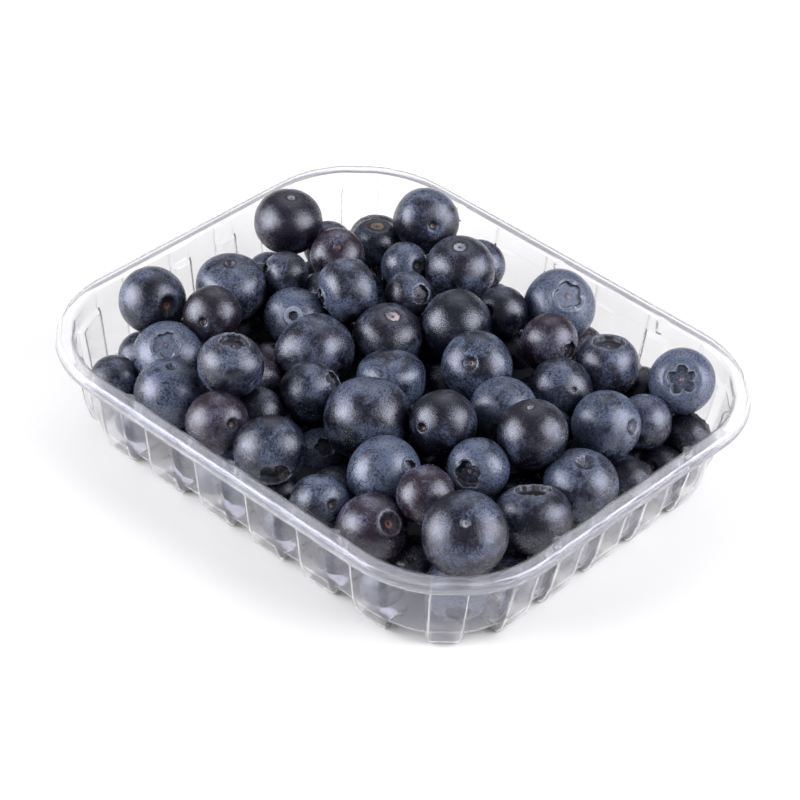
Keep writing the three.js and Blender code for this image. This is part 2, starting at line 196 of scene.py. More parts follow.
# Pale is partly a dry scar's own colour and partly a painted reflection of the bright surroundings
# on its flat face.
PALE_AND_GLINT = (0.38, 0.40, 0.46)
DUSK = (0.05, 0.055, 0.08)

# The berries that show: x, y, z, width, flatness, look, what faces the viewer, and where it is
# on the berry's disc as seen: across and up, in radii. Last is its size as a share of the
# berry's radius, and for a scar its colour.
TOP_BERRIES = (
    (-54, 17, 28, 17.2, 0.92, "dark", "scar", 0.1, 0.8, 0.13, PALE_AND_GLINT),
    (-32, 42, 28, 16.5, 0.86, "dusk", "none", 0, 0, 0, None),
    (-57.3, -27.3, 24.4, 16.6, 0.95, "dusk", "pit", 0.53, -0.2, 0.2, ORANGE),
    (-46, -12, 25, 17.2, 0.84, "grey", "pit", -0.05, 0.8, 0.12, DUSK),
    (-38.5, 17.6, 25.8, 13.6, 0.9, "plum", "scar", 0.0, 0.35, 0.1, (0.12, 0.03, 0.04)),
    (-40, 33, 22, 12.8, 0.9, "blue", "scar", 0.1, 0.85, 0.3, TAN),
    (-40, 1, 27, 11.9, 0.95, "dusk", "open", -0.93, 0.22, 0.36, None),
    (-55.4, 11.4, 14, 12, 0.95, "blue", "none", 0, 0, 0, None),
    (-49, 26, 20, 12.6, 0.95, "dusk", "none", 0, 0, 0, None),
    (-22, 4, 30, 16.0, 0.84, "dusk", "open", -0.93, -0.3, 0.34, None),
    (-24, 27, 26, 11.7, 0.94, "blue", "pit", 0.62, -0.04, 0.2, TAN),
    (-12.6, 33.5, 27.5, 17.2, 0.92, "dusk", "scar", 0.0, 0.76, 0.19, PALE_AND_GLINT),
    (-16, 46, 21, 13, 0.95, "dusk", "none", 0, 0, 0, None),
    (-12, 14, 29, 11.4, 0.95, "dusk", "open", 0.62, 0.0, 0.46, None),
    (-29.5, -5.6, 23.2, 14.9, 0.92, "blue", "ring", -0.05, 0.08, 0.29, None),
    (-41, -26, 26, 13.8, 0.95, "brown", "none", 0, 0, 0, None),
    (-45, -9, 13, 12, 0.95, "dark", "none", 0, 0, 0, None),
    (-42, -38, 21, 16.6, 0.86, "blue", "waxed", -0.06, 0.4, 0.46, None),
    (-55.5, -32, 11, 12, 0.95, "blue", "none", 0, 0, 0, None),
    (-48, -48.5, 17, 12, 0.95, "dusk", "none", 0, 0, 0, None),
    (-32, -49.5, 21.5, 16.9, 0.95, "blue", "pit", 0.05, 0.8, 0.11, DUSK),
    (-18, -39, 31.3, 15.6, 0.93, "dusk", "open", 0.12, 0.84, 0.5, None),
    (-16, -14, 24, 19.6, 0.86, "dusk", "none", 0, 0, 0, None),
    (-6.4, 1.7, 25.3, 17.4, 0.92, "dusk", "scar", 0.18, 0.72, 0.2, PINK),
    (4.5, 15.4, 27.5, 17.4, 0.9, "dark", "none", 0, 0, 0, None),
    (5, 29, 26, 12.6, 1.0, "dark", "pit", -0.55, 0.0, 0.15, ORANGE),
    (12, 43, 25, 17.9, 0.94, "blue", "waxed", 0.3, 0.36, 0.46, None),
    (21.8, 27.7, 27, 14.4, 0.95, "plum", "open", 0.74, -0.25, 0.34, None),
    (9, 31, 15, 13, 0.95, "dark", "none", 0, 0, 0, None),
    (35, 34, 24.7, 15.6, 0.97, "dusk", "wide", 0.05, 0.9, 0.56, None),
    (52, 41, 25, 16.0, 0.95, "blue", "star", 0.0, 0.05, 0.54, None),
    (17.3, 7.4, 27.5, 16.9, 0.9, "blue", "none", 0, 0, 0, None),
    (4, -10, 25, 16.0, 0.78, "blue", "pit", 0.0, 0.9, 0.2, DUSK),
    (-5, -26, 25, 14.4, 0.98, "dusk", "open", 0.82, 0.33, 0.42, None),
    (-11, -36, 22, 12.5, 0.93, "dark", "none", 0, 0, 0, None),
    (-12, -50, 25, 14.5, 0.98, "plum", "none", 0, 0, 0, None),
    (2, -47, 24, 16.8, 0.92, "dark", "open", 0.15, -0.82, 0.5, None),
    (12.9, -23.2, 25, 20.8, 0.88, "grey", "scar", 0.0, -0.85, 0.1, DUSK),
    (26, -16, 29, 15.4, 0.98, "dark", "pit", -0.66, -0.18, 0.1, ORANGE),
    (31, 1.2, 26.8, 15.8, 0.9, "blue", "waxed", -0.1, -0.74, 0.4, None),
    (33, 19, 24, 15.4, 0.95, "dusk", "scar", 0.45, 0.0, 0.06, DUSK),
    (40, 42, 15, 12.5, 0.95, "dark", "none", 0, 0, 0, None),
    (50, 16.4, 24.6, 16.2, 0.98, "blue", "pit", 0.8, -0.05, 0.17, DUSK),
    (52.6, 27.8, 18.6, 13.2, 1.0, "grey", "scar", 0.9, -0.2, 0.1, DUSK),
    (57, 38, 14, 12, 0.95, "dark", "none", 0, 0, 0, None),
    (45.5, -3.4, 27.6, 16.3, 0.98, "dark", "scar", -0.05, 0.78, 0.1, PALE_AND_GLINT),
    (25, -34, 24, 17, 0.93, "blue", "open", 0.72, 0.16, 0.24, None),
    (40, -18, 25, 14.2, 0.95, "blue", "open", -0.4, -0.25, 0.5, None),
    (3, -30, 14, 12.5, 0.92, "blue", "open", 0.2, 0.3, 0.4, None),
    (20, -49, 19.7, 13.6, 0.9, "blue", "none", 0, 0, 0, None),
    (33.5, -45.6, 20.7, 16.4, 0.98, "plum", "pit", 0.56, 0.2, 0.22, ORANGE),
    (39.2, -35.7, 26, 13.2, 1.04, "plum", "scar", -0.2, -0.9, 0.1, DUSK),
    (57.5, -40.5, 27, 19.2, 0.9, "dusk", "scar", 0.0, 0.28, 0.1, PALE_AND_GLINT),
    (58.1, -19.6, 21.6, 17.2, 0.85, "dark", "wide", 0.0, 0.95, 0.52, None),
    (49.5, -30, 22, 12.5, 0.9, "dusk", "none", 0, 0, 0, None),
    (46, -9, 13, 12, 0.95, "dusk", "none", 0, 0, 0, None),
    (60, -4, 23.5, 17.4, 0.96, "blue", "pit", 0.15, 0.68, 0.18, DUSK),
    (59, 14, 14, 12.5, 0.95, "dark", "none", 0, 0, 0, None),
    (57, 28, 12, 12, 0.95, "dark", "none", 0, 0, 0, None),
    (28, -17, 14, 12, 0.95, "dark", "none", 0, 0, 0, None),
    (45, -41, 12, 12, 0.95, "dark", "none", 0, 0, 0, None),
    (14, -37, 13, 12, 0.95, "blue", "none", 0, 0, 0, None),
    (5, -46, 11, 12, 0.95, "dark", "none", 0, 0, 0, None),
    (8, 7, 17, 12, 0.95, "dark", "none", 0, 0, 0, None),
    (56, -44, 12, 15, 0.92, "blue", "open", 0.0, -0.8, 0.42, None),
)

# Ranges for what the table leaves open: which way an unseen crown faces, across and up, and
# how big unseen crowns and scars are.
AWAY_ACROSS = (-0.8, 0.8)
AWAY_UP = (-0.8, 0.1)
PLAIN_CROWN = (0.34, 0.46)
PLAIN_SCAR = (0.09, 0.14)

HIDDEN_LOOKS = ("blue", "dark", "dark", "grey", "plum")
HIDDEN_FLATNESS = (0.86, 0.98)
HIDDEN_CROWN = (0.36, 0.46)
HIDDEN_SCAR = 0.11

# ---- Berry meshes, in berry radii ----
FULL_TURN = 6.28
FINE_GRID = (80, 24)  # points round a berry, and rings between its crown and its scar
COARSE_GRID = (40, 10)
LOBES = 5
ROUND = 0.93  # how round a berry's section is: 1 is an ellipse, less is squarer
SQUARER = 1.5  # how fast a flatter berry turns squarer
ROUND_RANGE = (0.76, 0.97)
WIDEST = 0.97  # no crown or scar reaches further out
BODY_FROM = 1.25  # where the body starts, in radii of the crown
BODY_TO = 1.7  # where the body ends, in radii of the scar
BUMP_WAVES = 8
BUMP_TIGHTNESS = (1.2, 3.4)
BUMP_HEIGHT = (0.003, 0.011)
DENTS = 3
DENT_DEPTH = (0.0, 0.035)
DENT_WIDTH = (0.02, 0.07)
MAP_SHARE = 0.96  # how much of its square of the texture map a berry fills
MAP_MARGIN = 0.02

# How each kind of crown is made, in berry radii but for the first two, which are shares of the
# crown's own: the hole's least radius, how far its petals reach past that, the height of the
# tips between petals and of the ridge outside them, the depth, how much painted shade darkens
# the floor, how much pale wax lies on the floor, on the hole's edge and on the ridge.
CROWNS = {
    "star": (0.50, 0.34, 0.035, 0.03, 0.07, 0.6, 0.0, 0.95, 0.2),
    "waxed": (0.66, 0.24, 0.05, 0.045, 0.045, 0.1, 0.55, 0.6, 0.45),
    "open": (0.76, 0.17, 0.075, 0.045, 0.13, 0.88, 0.0, 0.7, 0.3),
    "wide": (0.86, 0.07, 0.035, 0.03, 0.12, 0.9, 0.0, 0.95, 0.3),
    "ring": (0.50, 0.04, 0.02, 0.07, 0.10, 0.6, 0.0, 0.8, 0.8),
}
# How a scar is made: how far out its colour goes, how far out the painted shade on its side goes,
# and its depth.
SCARS = {"pit": (0.5, 1.15, 0.16), "scar": (0.88, 1.02, 0.06)}
# What the crown and the scar are painted with, linear. The first, near black, is painted shade in
# their hollows.
HOLLOW_SHADE = (0.006, 0.0045, 0.006)
DRY = (0.05, 0.034, 0.026)
WAXED = (0.13, 0.15, 0.205)
RIM = (0.27, 0.30, 0.37)
NUB = (0.25, 0.10, 0.055)

# ---- Finishes ----
# Each look: how much bloom it has, how plum and how brown it is, and how far berries of one
# look differ in each.
LOOKS = {
    "blue": (0.78, 0.0, 0.0),
    "dusk": (0.5, 0.05, 0.02),
    "dark": (0.26, 0.08, 0.05),
    "grey": (0.62, 0.12, 0.1),
    "plum": (0.45, 0.7, 0.12),
    "brown": (0.3, 0.25, 0.6),
}
LOOK_SPREADS = ((-0.08, 0.08), (-0.08, 0.12), (-0.05, 0.08))
TEXTURE_ROOM = (0, 90)  # each berry takes its texture from its own place in this room

# Skin and the bloom on it, plain, plum and brown, linear.
SKIN = (0.0032, 0.0042, 0.0105)
PLUM_SKIN = (0.024, 0.006, 0.013)
BROWN_SKIN = (0.014, 0.010, 0.010)
BLOOM = (0.083, 0.106, 0.168)
PLUM_BLOOM = (0.108, 0.084, 0.128)
BROWN_BLOOM = (0.086, 0.080, 0.088)
SKIN_TINT = (0.85, 0.87, 1.0)
SKIN_IOR = 1.72
PLASTIC = (0.985, 0.98, 0.995)
PLASTIC_TINT = (0.74, 0.76, 1.0)
PLASTIC_IOR = 1.5
# The sheet lets less light through where it is white along its bends: partly stress whitening,
# partly painted highlight.
CLEAR = 0.965  # how much light the sheet lets through, plain and whitened
CLEAR_WHERE_WHITE = 0.5
# The core's colours are painted shade: it shows only as deep gaps between the berries.
CORE_SHADE_DARK = (0.006, 0.007, 0.012)
CORE_SHADE_PALE = (0.018, 0.02, 0.032)


# ---- Camera and directions ----


def camera_axes():
    azimuth, elevation, roll = map(math.radians, (CAMERA_AZIMUTH, CAMERA_ELEVATION, CAMERA_ROLL))
    level = math.cos(elevation)
    back = Vector((math.sin(azimuth) * level, -math.cos(azimuth) * level, math.sin(elevation)))
    right = (-back).cross(Vector((0, 0, 1))).normalized()
    up = right.cross(-back)
    rolled_right = right * math.cos(roll) + up * math.sin(roll)
    rolled_up = up * math.cos(roll) - right * math.sin(roll)
    return rolled_right, rolled_up, back


def add_camera():
    right, up, back = camera_axes()
    data = bpy.data.cameras.new("camera")
    data.lens = CAMERA_LENS
    data.sensor_width = CAMERA_SENSOR
    data.clip_start = CAMERA_NEAREST * MM
    camera = bpy.data.objects.new("camera", data)
    place = Vector(CAMERA_PLACE) * MM
    rows = [(right[i], up[i], back[i], place[i]) for i in range(3)]
    camera.matrix_world = Matrix(rows + [(0, 0, 0, 1)])
    bpy.context.scene.collection.objects.link(camera)
    bpy.context.scene.camera = camera


def seen_direction(at, across, up):
    """The direction out of a berry at a place on its disc, as the camera sees it."""
    to_viewer = (Vector(CAMERA_PLACE) - Vector(at)).normalized()
    right, _, _ = camera_axes()
    right = (right - to_viewer * right.dot(to_viewer)).normalized()
    up_axis = to_viewer.cross(right)
    towards = math.sqrt(max(1 - across * across - up * up, 0))
    return (right * across + up_axis * up + to_viewer * towards).normalized()


# ---- Meshes and pieces ----


def mesh_piece(name, points, faces):
    """A smooth-shaded piece from points in millimetres, riding on the one body."""
    mesh = bpy.data.meshes.new(name)
    mesh.from_pydata((np.asarray(points) * MM).tolist(), [], faces)
    mesh.update()
    piece = bpy.data.objects.new(name, mesh)
    bpy.context.scene.collection.objects.link(piece)
    mesh.polygons.foreach_set("use_smooth", [True] * len(mesh.polygons))
    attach(piece, "root")
    return piece


def ring_faces(rings, around, offset=0):
    """The faces between closed rings of points, each ring after the last."""
    i = np.arange(around)
    j = (i + 1) % around
    faces = []
    for ring in range(rings - 1):
        a = offset + ring * around
        b = a + around
        faces.append(np.stack([a + i, b + i, b + j, a + j], axis=1))
    return np.concatenate(faces)


def signed_power(value, power):
    return math.copysign(abs(value) ** power, value)


# ---- The tray ----


def side_of(turn, half, reach, ribs, pitch, lugs):
    return {"turn": turn, "half": half, "reach": reach, "ribs": ribs, "pitch": pitch, "lugs": lugs}


SHORT = (HALF_SHORT, RIM_LENGTH / 2, SHORT_SIDE_RIBS, SHORT_SIDE_PITCH, SHORT_SIDE_LUGS)
LONG = (HALF_LONG, RIM_WIDTH / 2, LONG_SIDE_RIBS, LONG_SIDE_PITCH, LONG_SIDE_LUGS)
SIDES = (side_of(0, *SHORT), side_of(90, *LONG), side_of(180, *SHORT), side_of(270, *LONG))


def outline_point(side, along, inset):
    """The point of a side's outline at a distance along it, moved in by inset."""
    over = max(abs(along) - side["half"], 0)
    sign = 1 if along >= 0 else -1
    angle = over / WALL_RADIUS
    radius = RIM_CORNER_RADIUS - inset
    outward = side["reach"] - RIM_CORNER_RADIUS + radius * math.cos(angle)
    sideways = sign * (min(abs(along), side["half"]) + radius * math.sin(angle))
    turn = math.radians(side["turn"])
    x = outward * math.cos(turn) - sideways * math.sin(turn)
    y = outward * math.sin(turn) + sideways * math.cos(turn)
    return x, y


def curve(t, start, corner, end):
    """The place at t, from 0 to 1, on the curve from start to end that rounds a corner."""
    return (1 - t) ** 2 * start + 2 * t * (1 - t) * corner + t * t * end


def crease(t, white_and_highlight, sharpness):
    """How white a bend is at t: most in its middle, and 0 at its ends."""
    return white_and_highlight * (4 * t * (1 - t)) ** sharpness


def rib_centres(side):
    own = [(i - (side["ribs"] - 1) / 2) * side["pitch"] for i in range(side["ribs"])]
    return own + [side["half"] + CORNER_ARC / 2]


def rib_side():
    """One side of a rib: distance past its flat, share of the rib left there, and whiteness."""
    slope = np.array([RIB_SIDE, RIB_DEPTH]) / math.hypot(RIB_SIDE, RIB_DEPTH) * RIB_ROUNDING
    level = np.array([RIB_ROUNDING, 0.0])
    top = np.array([0.0, 0.0])
    foot = np.array([RIB_SIDE, RIB_DEPTH])
    bends = ((top - level, top, top + slope, RIB_WHITE_AND_HIGHLIGHT), (foot - slope, foot, foot + level, 0.0))
    points = []
    for before, corner, after, white_and_highlight in bends:
        for step in range(RIB_STEPS + 1):
            t = step / RIB_STEPS
            out, deep = curve(t, before, corner, after)
            points.append((out, 1 - deep / RIB_DEPTH, crease(t, white_and_highlight, CREASE_SHARPNESS)))
    return points


def lug_share(along, side):
    reach = max(1 - abs(along - centre) / (LUG_WIDTH / 2) for centre in side["lugs"])
    return math.sqrt(max(reach, 0.0))


def known_stations(side, start):
    """The places that a side's ribs and lugs need: place, share of a rib and whiteness."""
    half = RIB_WIDTH / 2
    known = []
    for out, share, white_and_highlight in rib_side():
        known.append((start + out, share, white_and_highlight * FAR_CREASE))
        for centre in rib_centres(side):
            # Each rib's left edge, as seen from outside, takes the full whiteness and its right edge
            # a small share: a painted highlight.
            known.append((centre - half - out, share, white_and_highlight))
            known.append((centre + half + out, share, white_and_highlight * FAR_CREASE))
    for centre in side["lugs"]:
        for step in range(-LUG_STEPS, LUG_STEPS + 1):
            known.append((centre + step * LUG_WIDTH / LUG_CUTS, 0.0, 0.0))
    return known


def filled_in(known):
    """The same places, with more where they lie far apart and none twice."""
    filled = known[:1]
    for point in known[1:]:
        last = filled[-1]
        gap = point[0] - last[0]
        if gap < SHORTEST_STEP:
            continue
        pieces = int(gap // LONGEST_STEP) + 1
        for step in range(1, pieces):
            filled.append((last[0] + gap * step / pieces, last[1], 0.0))
        filled.append(point)
    return filled


def stations_of(side):
    """Places along a side: the place, the share of a rib there, whiteness and share of a lug.

    A side runs from past the rib in one corner to past the rib in the next."""
    start = -side["half"] - CORNER_ARC / 2 + RIB_WIDTH / 2
    end = side["half"] + CORNER_ARC / 2 + RIB_WIDTH / 2
    first = start - RIB_ROUNDING
    past = end - RIB_ROUNDING - SAME_PLACE
    known = sorted(point for point in known_stations(side, start) if first <= point[0] < past)
    return [(side, *point, lug_share(point[0], side)) for point in filled_in(known)]


def with_white(place, white_and_highlight):
    return np.array([*place, white_and_highlight])


def rounded_bend(before, corner, after, radius, white_and_highlight):
    """The points of the bend at a corner between two others."""
    back = before - corner
    ahead = after - corner
    reach_back = np.linalg.norm(back)
    reach_ahead = np.linalg.norm(ahead)
    cut = max(min(radius, BEND_SHARE * reach_back, BEND_SHARE * reach_ahead), LEAST_BEND)
    first = corner + back / reach_back * cut
    last = corner + ahead / reach_ahead * cut
    arc = []
    for step in range(BEND_STEPS + 1):
        t = step / BEND_STEPS
        arc.append(with_white(curve(t, first, corner, last), crease(t, white_and_highlight, BEND_SHARPNESS)))
    return arc


def bent_line(section):
    """A section's points with each bend rounded, the same number for every section."""
    corners = [np.array(point[:2]) for point in section]
    points = [with_white(corners[0], section[0][3])]
    for i, runs in enumerate(RUN_STEPS, start=1):
        _, _, radius, white_and_highlight = section[i]
        arc = [with_white(corners[i], white_and_highlight)]
        if i < len(RUN_STEPS):
            arc = rounded_bend(corners[i - 1], corners[i], corners[i + 1], radius, white_and_highlight)
        start = points[-1]
        for step in range(1, runs):
            points.append((start + (arc[0] - start) * step / runs) * (1, 1, 0))
        points.extend(arc)
    return np.array(points)


def sheet_point(station, on_rib, off_rib):
    """A point of the sheet, and how white the sheet is there."""
    side, along, share, rib_crease, lug = station
    inset, z, white_and_highlight = off_rib + (on_rib - off_rib) * share
    if LUG_BOTTOM < z < LUG_TOP and inset > WALL_FROM:
        height = min((z - LUG_BOTTOM) / LUG_RISE, (LUG_TOP - z) / LUG_RISE, 1)
        inset += LUG_DEPTH * lug * math.sqrt(height)
        white_and_highlight = max(white_and_highlight, LUG_WHITE * lug)
    if CREASE_BOTTOM < z < LUG_TOP and inset > WALL_FROM:
        white_and_highlight = max(white_and_highlight, rib_crease)
    return (*outline_point(side, along, inset), z), white_and_highlight


def tray_grid():
    """The tray's middle surface as rows of points, and how white the sheet is at each."""
    stations = [station for side in SIDES for station in stations_of(side)]
    rows, whites = [], []
    for on_rib, off_rib in zip(bent_line(RIB_SECTION), bent_line(BETWEEN_SECTION)):
        row = [sheet_point(station, on_rib, off_rib) for station in stations]
        rows.append([point for point, _ in row])
        whites.append([white_and_highlight for _, white_and_highlight in row])
    return rows, whites


def add_tray(material):
    rows, whites = tray_grid()
    edge = rows[-1]
    for share in FLOOR_RINGS:
        rows.append([(x * share, y * share, z) for x, y, z in edge])
        whites.append([0.0] * len(edge))
    count = len(edge)
    points = [point for row in rows for point in row] + [(0, 0, edge[0][2])]
    # Wound the other way, so that the faces look out of the sheet's upper side.
    faces = ring_faces(len(rows), count)[:, [0, 3, 2, 1]].tolist()
    middle = len(points) - 1
    last = middle - count
    faces += [(last + i, last + (i + 1) % count, middle) for i in range(count)]
    tray = mesh_piece("tray_sheet", points, faces)
    # The sheet's whiteness along its bends: partly stress whitening, partly painted highlight.
    white_and_highlight = tray.data.attributes.new("white_and_highlight", "FLOAT", "POINT")
    white_and_highlight.data.foreach_set("value", [value for row in whites for value in row] + [0.0])
    shell = tray.modifiers.new("sheet", "SOLIDIFY")
    shell.thickness = SHEET * MM
    shell.offset = 0.0
    tray.data.materials.append(material)
    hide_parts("tray")


# ---- Placing the fruit ----


class Draw:
    """A small seeded generator, the same each run."""

    def __init__(self, seed):
        self.state = seed

    def __call__(self, low=0.0, high=1.0):
        self.state = self.state * 16807 % 2147483647
        return low + (high - low) * self.state / 2147483647


def wall_inset(z):
    if z > BAND_BOTTOM:
        return BAND_INSET
    below = BAND_BOTTOM - max(z, FOLD_HEIGHT)
    return WALL_TOP_INSET + below * WALL_LEAN / (BAND_BOTTOM - FOLD_HEIGHT)


def reach_at(berry, height):
    off = berry["at"][2] - height
    return math.sqrt(max(berry["radius"] ** 2 - off**2, 0))


def wall_push(berry):
    """How far a berry reaches past the wall, and which way is out."""
    x, y, z = berry["at"]
    dx = abs(x) - HALF_LONG
    dy = abs(y) - HALF_SHORT
    corner = math.hypot(max(dx, 0), max(dy, 0))
    edge = corner + min(max(dx, dy), 0) - RIM_CORNER_RADIUS
    depth = -math.inf
    for height in (min(z, TRAY_HEIGHT), BAND_BOTTOM, FOLD_HEIGHT):
        reach = reach_at(berry, height)
        if reach > 0:
            depth = max(depth, edge + wall_inset(height) + reach + FRUIT_GAP)
    out = (math.copysign(1, x), 0) if dx > dy else (0, math.copysign(1, y))
    if dx > 0 and dy > 0:
        out = (math.copysign(dx, x) / corner, math.copysign(dy, y) / corner)
    return depth, out


LUG_PLACES = [
    outline_point(side, along, FLANGE_WIDTH + LUG_MIDDLE) for side in SIDES for along in side["lugs"]
]


def keep_in_tray(berry):
    depth, out = wall_push(berry)
    at = berry["at"]
    if depth > 0:
        at[0] -= out[0] * depth
        at[1] -= out[1] * depth
    height = min(max(at[2], LUG_BOTTOM), LUG_TOP)
    reach = reach_at(berry, height)
    for x, y in LUG_PLACES:
        away = np.array([at[0] - x, at[1] - y])
        distance = np.linalg.norm(away)
        clearance = reach + LUG_RADIUS + FRUIT_GAP
        if reach > 0 and distance < clearance:
            at[:2] += away / distance * (clearance - distance)
    at[2] = max(at[2], FLOOR_TOP + FRUIT_GAP + berry["radius"])


def contact(a, b):
    """How far two berries overlap, and the direction from the first to the second."""
    gap = b["at"] - a["at"]
    distance = np.linalg.norm(gap)
    return (a["radius"] + b["radius"]) * TOUCH - distance, gap / distance


def push_apart(a, b):
    """Moves two berries until they only touch. One already placed stays where it is."""
    if a["fixed"] and b["fixed"]:
        return
    depth, direction = contact(a, b)
    if depth <= 0:
        return
    share = 0.5 if a["fixed"] == b["fixed"] else float(b["fixed"])
    a["at"] -= direction * depth * share
    b["at"] += direction * depth * (1 - share)


def close_pairs(berries):
    places = np.array([berry["at"] for berry in berries])
    radii = np.array([berry["radius"] for berry in berries])
    gaps = np.linalg.norm(places[:, None] - places[None, :], axis=2)
    near = gaps < (radii[:, None] + radii[None, :]) * TOUCH + NEAR_ENOUGH
    return np.argwhere(np.triu(near, 1))


def settle(berries):
    """Pushes berries apart. New ones give way to those already placed."""
    for _ in range(SETTLE_PASSES):
        for i, j in close_pairs(berries):
            push_apart(berries[i], berries[j])
        for berry in berries:
            if not berry["fixed"]:
                keep_in_tray(berry)
    for berry in berries:
        berry["fixed"] = True


def jitter(draw):
    return draw(-0.5, 0.5) * HIDDEN_JITTER


def grid_places(pitch, draw):
    row_step = pitch * math.sqrt(3) / 2
    rows = int(RIM_WIDTH / row_step / 2)
    columns = int(RIM_LENGTH / pitch / 2) + 1
    places = []
    for row in range(-rows, rows + 1):
        shift = 0 if row % 2 == 0 else pitch / 2
        for column in range(-columns, columns + 1):
            x = column * pitch + shift + jitter(draw)
            y = row * row_step + jitter(draw)
            places.append((x, y))
    return places


def wall_places(pitch, inset, draw):
    """Places in a row along the wall, a berry's radius in from it."""
    places = []
    for side in SIDES:
        run = side["half"] * 2 + CORNER_ARC * (RIM_CORNER_RADIUS - inset) / WALL_RADIUS
        count = round(run / pitch)
        for step in range(count):
            share = (step + 0.5) / count - 0.5
            along = share * (side["half"] * 2 + CORNER_ARC)
            places.append(outline_point(side, along + jitter(draw), inset))
    return places


def hidden_berry(x, y, z, radius, draw):
    turn = math.radians(draw(0, 360))
    tilt = math.radians(draw(-90, 0))
    level = math.cos(tilt)
    axis = Vector((level * math.cos(turn), level * math.sin(turn), math.sin(tilt)))
    berry = {"at": np.array([x, y, z]), "radius": radius, "fixed": False, "axis": axis}
    berry.update(flatness=draw(*HIDDEN_FLATNESS), crown=draw(*HIDDEN_CROWN), scar=HIDDEN_SCAR)
    berry.update(style="open", scar_colour=TAN, fine=False)
    berry["look"] = HIDDEN_LOOKS[int(draw(0, len(HIDDEN_LOOKS) - 0.01))]
    return berry


def hidden_berries(layer, draw):
    height, pitch, narrow, wide, _, _ = layer
    inset = wall_inset(height) + (narrow + wide) / 4
    places = wall_places((narrow + wide) / 2, inset, draw) + grid_places(pitch, draw)
    berries = [hidden_berry(x, y, height, draw(narrow, wide) / 2, draw) for x, y in places]
    return [berry for berry in berries if wall_push(berry)[0] < berry["radius"]]


def in_dip(berry):
    """Whether a berry is high where the heap dips: in a named place or along a far wall."""
    x, y, z = berry["at"]
    named = any(math.hypot(x - at_x, y - at_y) < reach for at_x, at_y, reach in DIPS)
    depth, out = wall_push(berry)
    far = depth > -FAR_CLEAR and np.dot(out, FAR_SIDE) > 0
    return z > DIP_HEIGHT and (named or far)


def with_layer(placed, layer, draw):
    """The placed berries and those of a hidden layer that found room among them."""
    _, _, _, _, highest, clearance = layer
    added = hidden_berries(layer, draw)
    settle(placed + added)
    kept = list(placed)
    for berry in added:
        pressed = any(contact(berry, other)[0] > SQUEEZE_LIMIT for other in kept)
        low = berry["at"][2] < highest
        clear = wall_push(berry)[0] < -clearance
        if low and clear and not pressed and not in_dip(berry):
            kept.append(berry)
    return kept


def wedged_berries(placed, draw):
    """Small berries low down, in the gaps between neighbours along the wall."""
    row = [berry for berry in placed if berry["at"][2] < WEDGE_HIGHEST]
    row = [berry for berry in row if wall_push(berry)[0] > -WEDGE_NEAR]
    row.sort(key=lambda berry: math.atan2(berry["at"][1], berry["at"][0]))
    wedged = []
    for berry, neighbour in zip(row, row[1:] + row[:1]):
        x, y, _ = (berry["at"] + neighbour["at"]) / 2
        radius = draw(*WEDGE_RADII)
        added = hidden_berry(x, y, FLOOR_TOP + FRUIT_GAP + radius, radius, draw)
        depth, out = wall_push(added)
        added["at"][:2] -= np.array(out) * depth
        added["fixed"] = True
        wedged.append(added)
    return wedged


def top_berries(draw):
    """The berries that show. Where nothing is named, the crown faces away, down or sideways."""
    berries = []
    for x, y, z, width, flatness, look, style, across, up, size, colour in TOP_BERRIES:
        at = np.array([x, y, z], dtype=float)
        seen = seen_direction(at, across, up)
        away = seen_direction(at, draw(*AWAY_ACROSS), draw(*AWAY_UP)) * -1
        crowned = style in CROWNS
        axis = {"scar": -seen, "pit": -seen, "none": away}.get(style, seen)
        crown = size if crowned else draw(*PLAIN_CROWN)
        scar = draw(*PLAIN_SCAR) if crowned or style == "none" else size
        berry = {"at": at, "radius": width / 2, "fixed": False, "flatness": flatness}
        berry.update(look=look, axis=axis, crown=crown, scar=scar, fine=True)
        berry.update(style=style, scar_colour=colour or TAN)
        berries.append(berry)
    return berries


def all_berries():
    draw = Draw(SEED)
    berries = top_berries(draw)
    settle(berries)
    for layer in HIDDEN_LAYERS:
        berries = with_layer(berries, layer, draw)
    return berries + wedged_berries(berries, draw)


# ---- One berry ----


def waves(angle, counts, strength, draw):
    """A sum of waves round the crown, one of each count, up to a strength each."""
    return sum(draw(0.3, 1) * strength * np.sin(k * angle + draw(0, FULL_TURN)) for k in counts)


def calyx_petals(angle, draw):
    """Five uneven rounded petals round the crown: 1 at a petal's middle, 0 at a tip between."""
    swing = angle + waves(angle, (1, 2, 3), 0.1, draw) + draw(0, 2 * math.pi)
    petals = np.abs(np.cos(LOBES / 2 * swing)) ** 0.75
    return np.clip(petals * (1 + waves(angle, (1, 2, 4), 0.12, draw)), 0, 1.2)


def roundness(flatness):
    least, most = ROUND_RANGE
    return min(max(ROUND - SQUARER * (ROUND - flatness), least), most)


def body_angle(radius, flatness):
    """How far round from the crown a berry's body reaches a radius."""
    return math.asin(min(radius, WIDEST) ** (1 / roundness(flatness)))


def body_height(radius, flatness):
    return math.cos(body_angle(radius, flatness)) ** roundness(flatness) * flatness


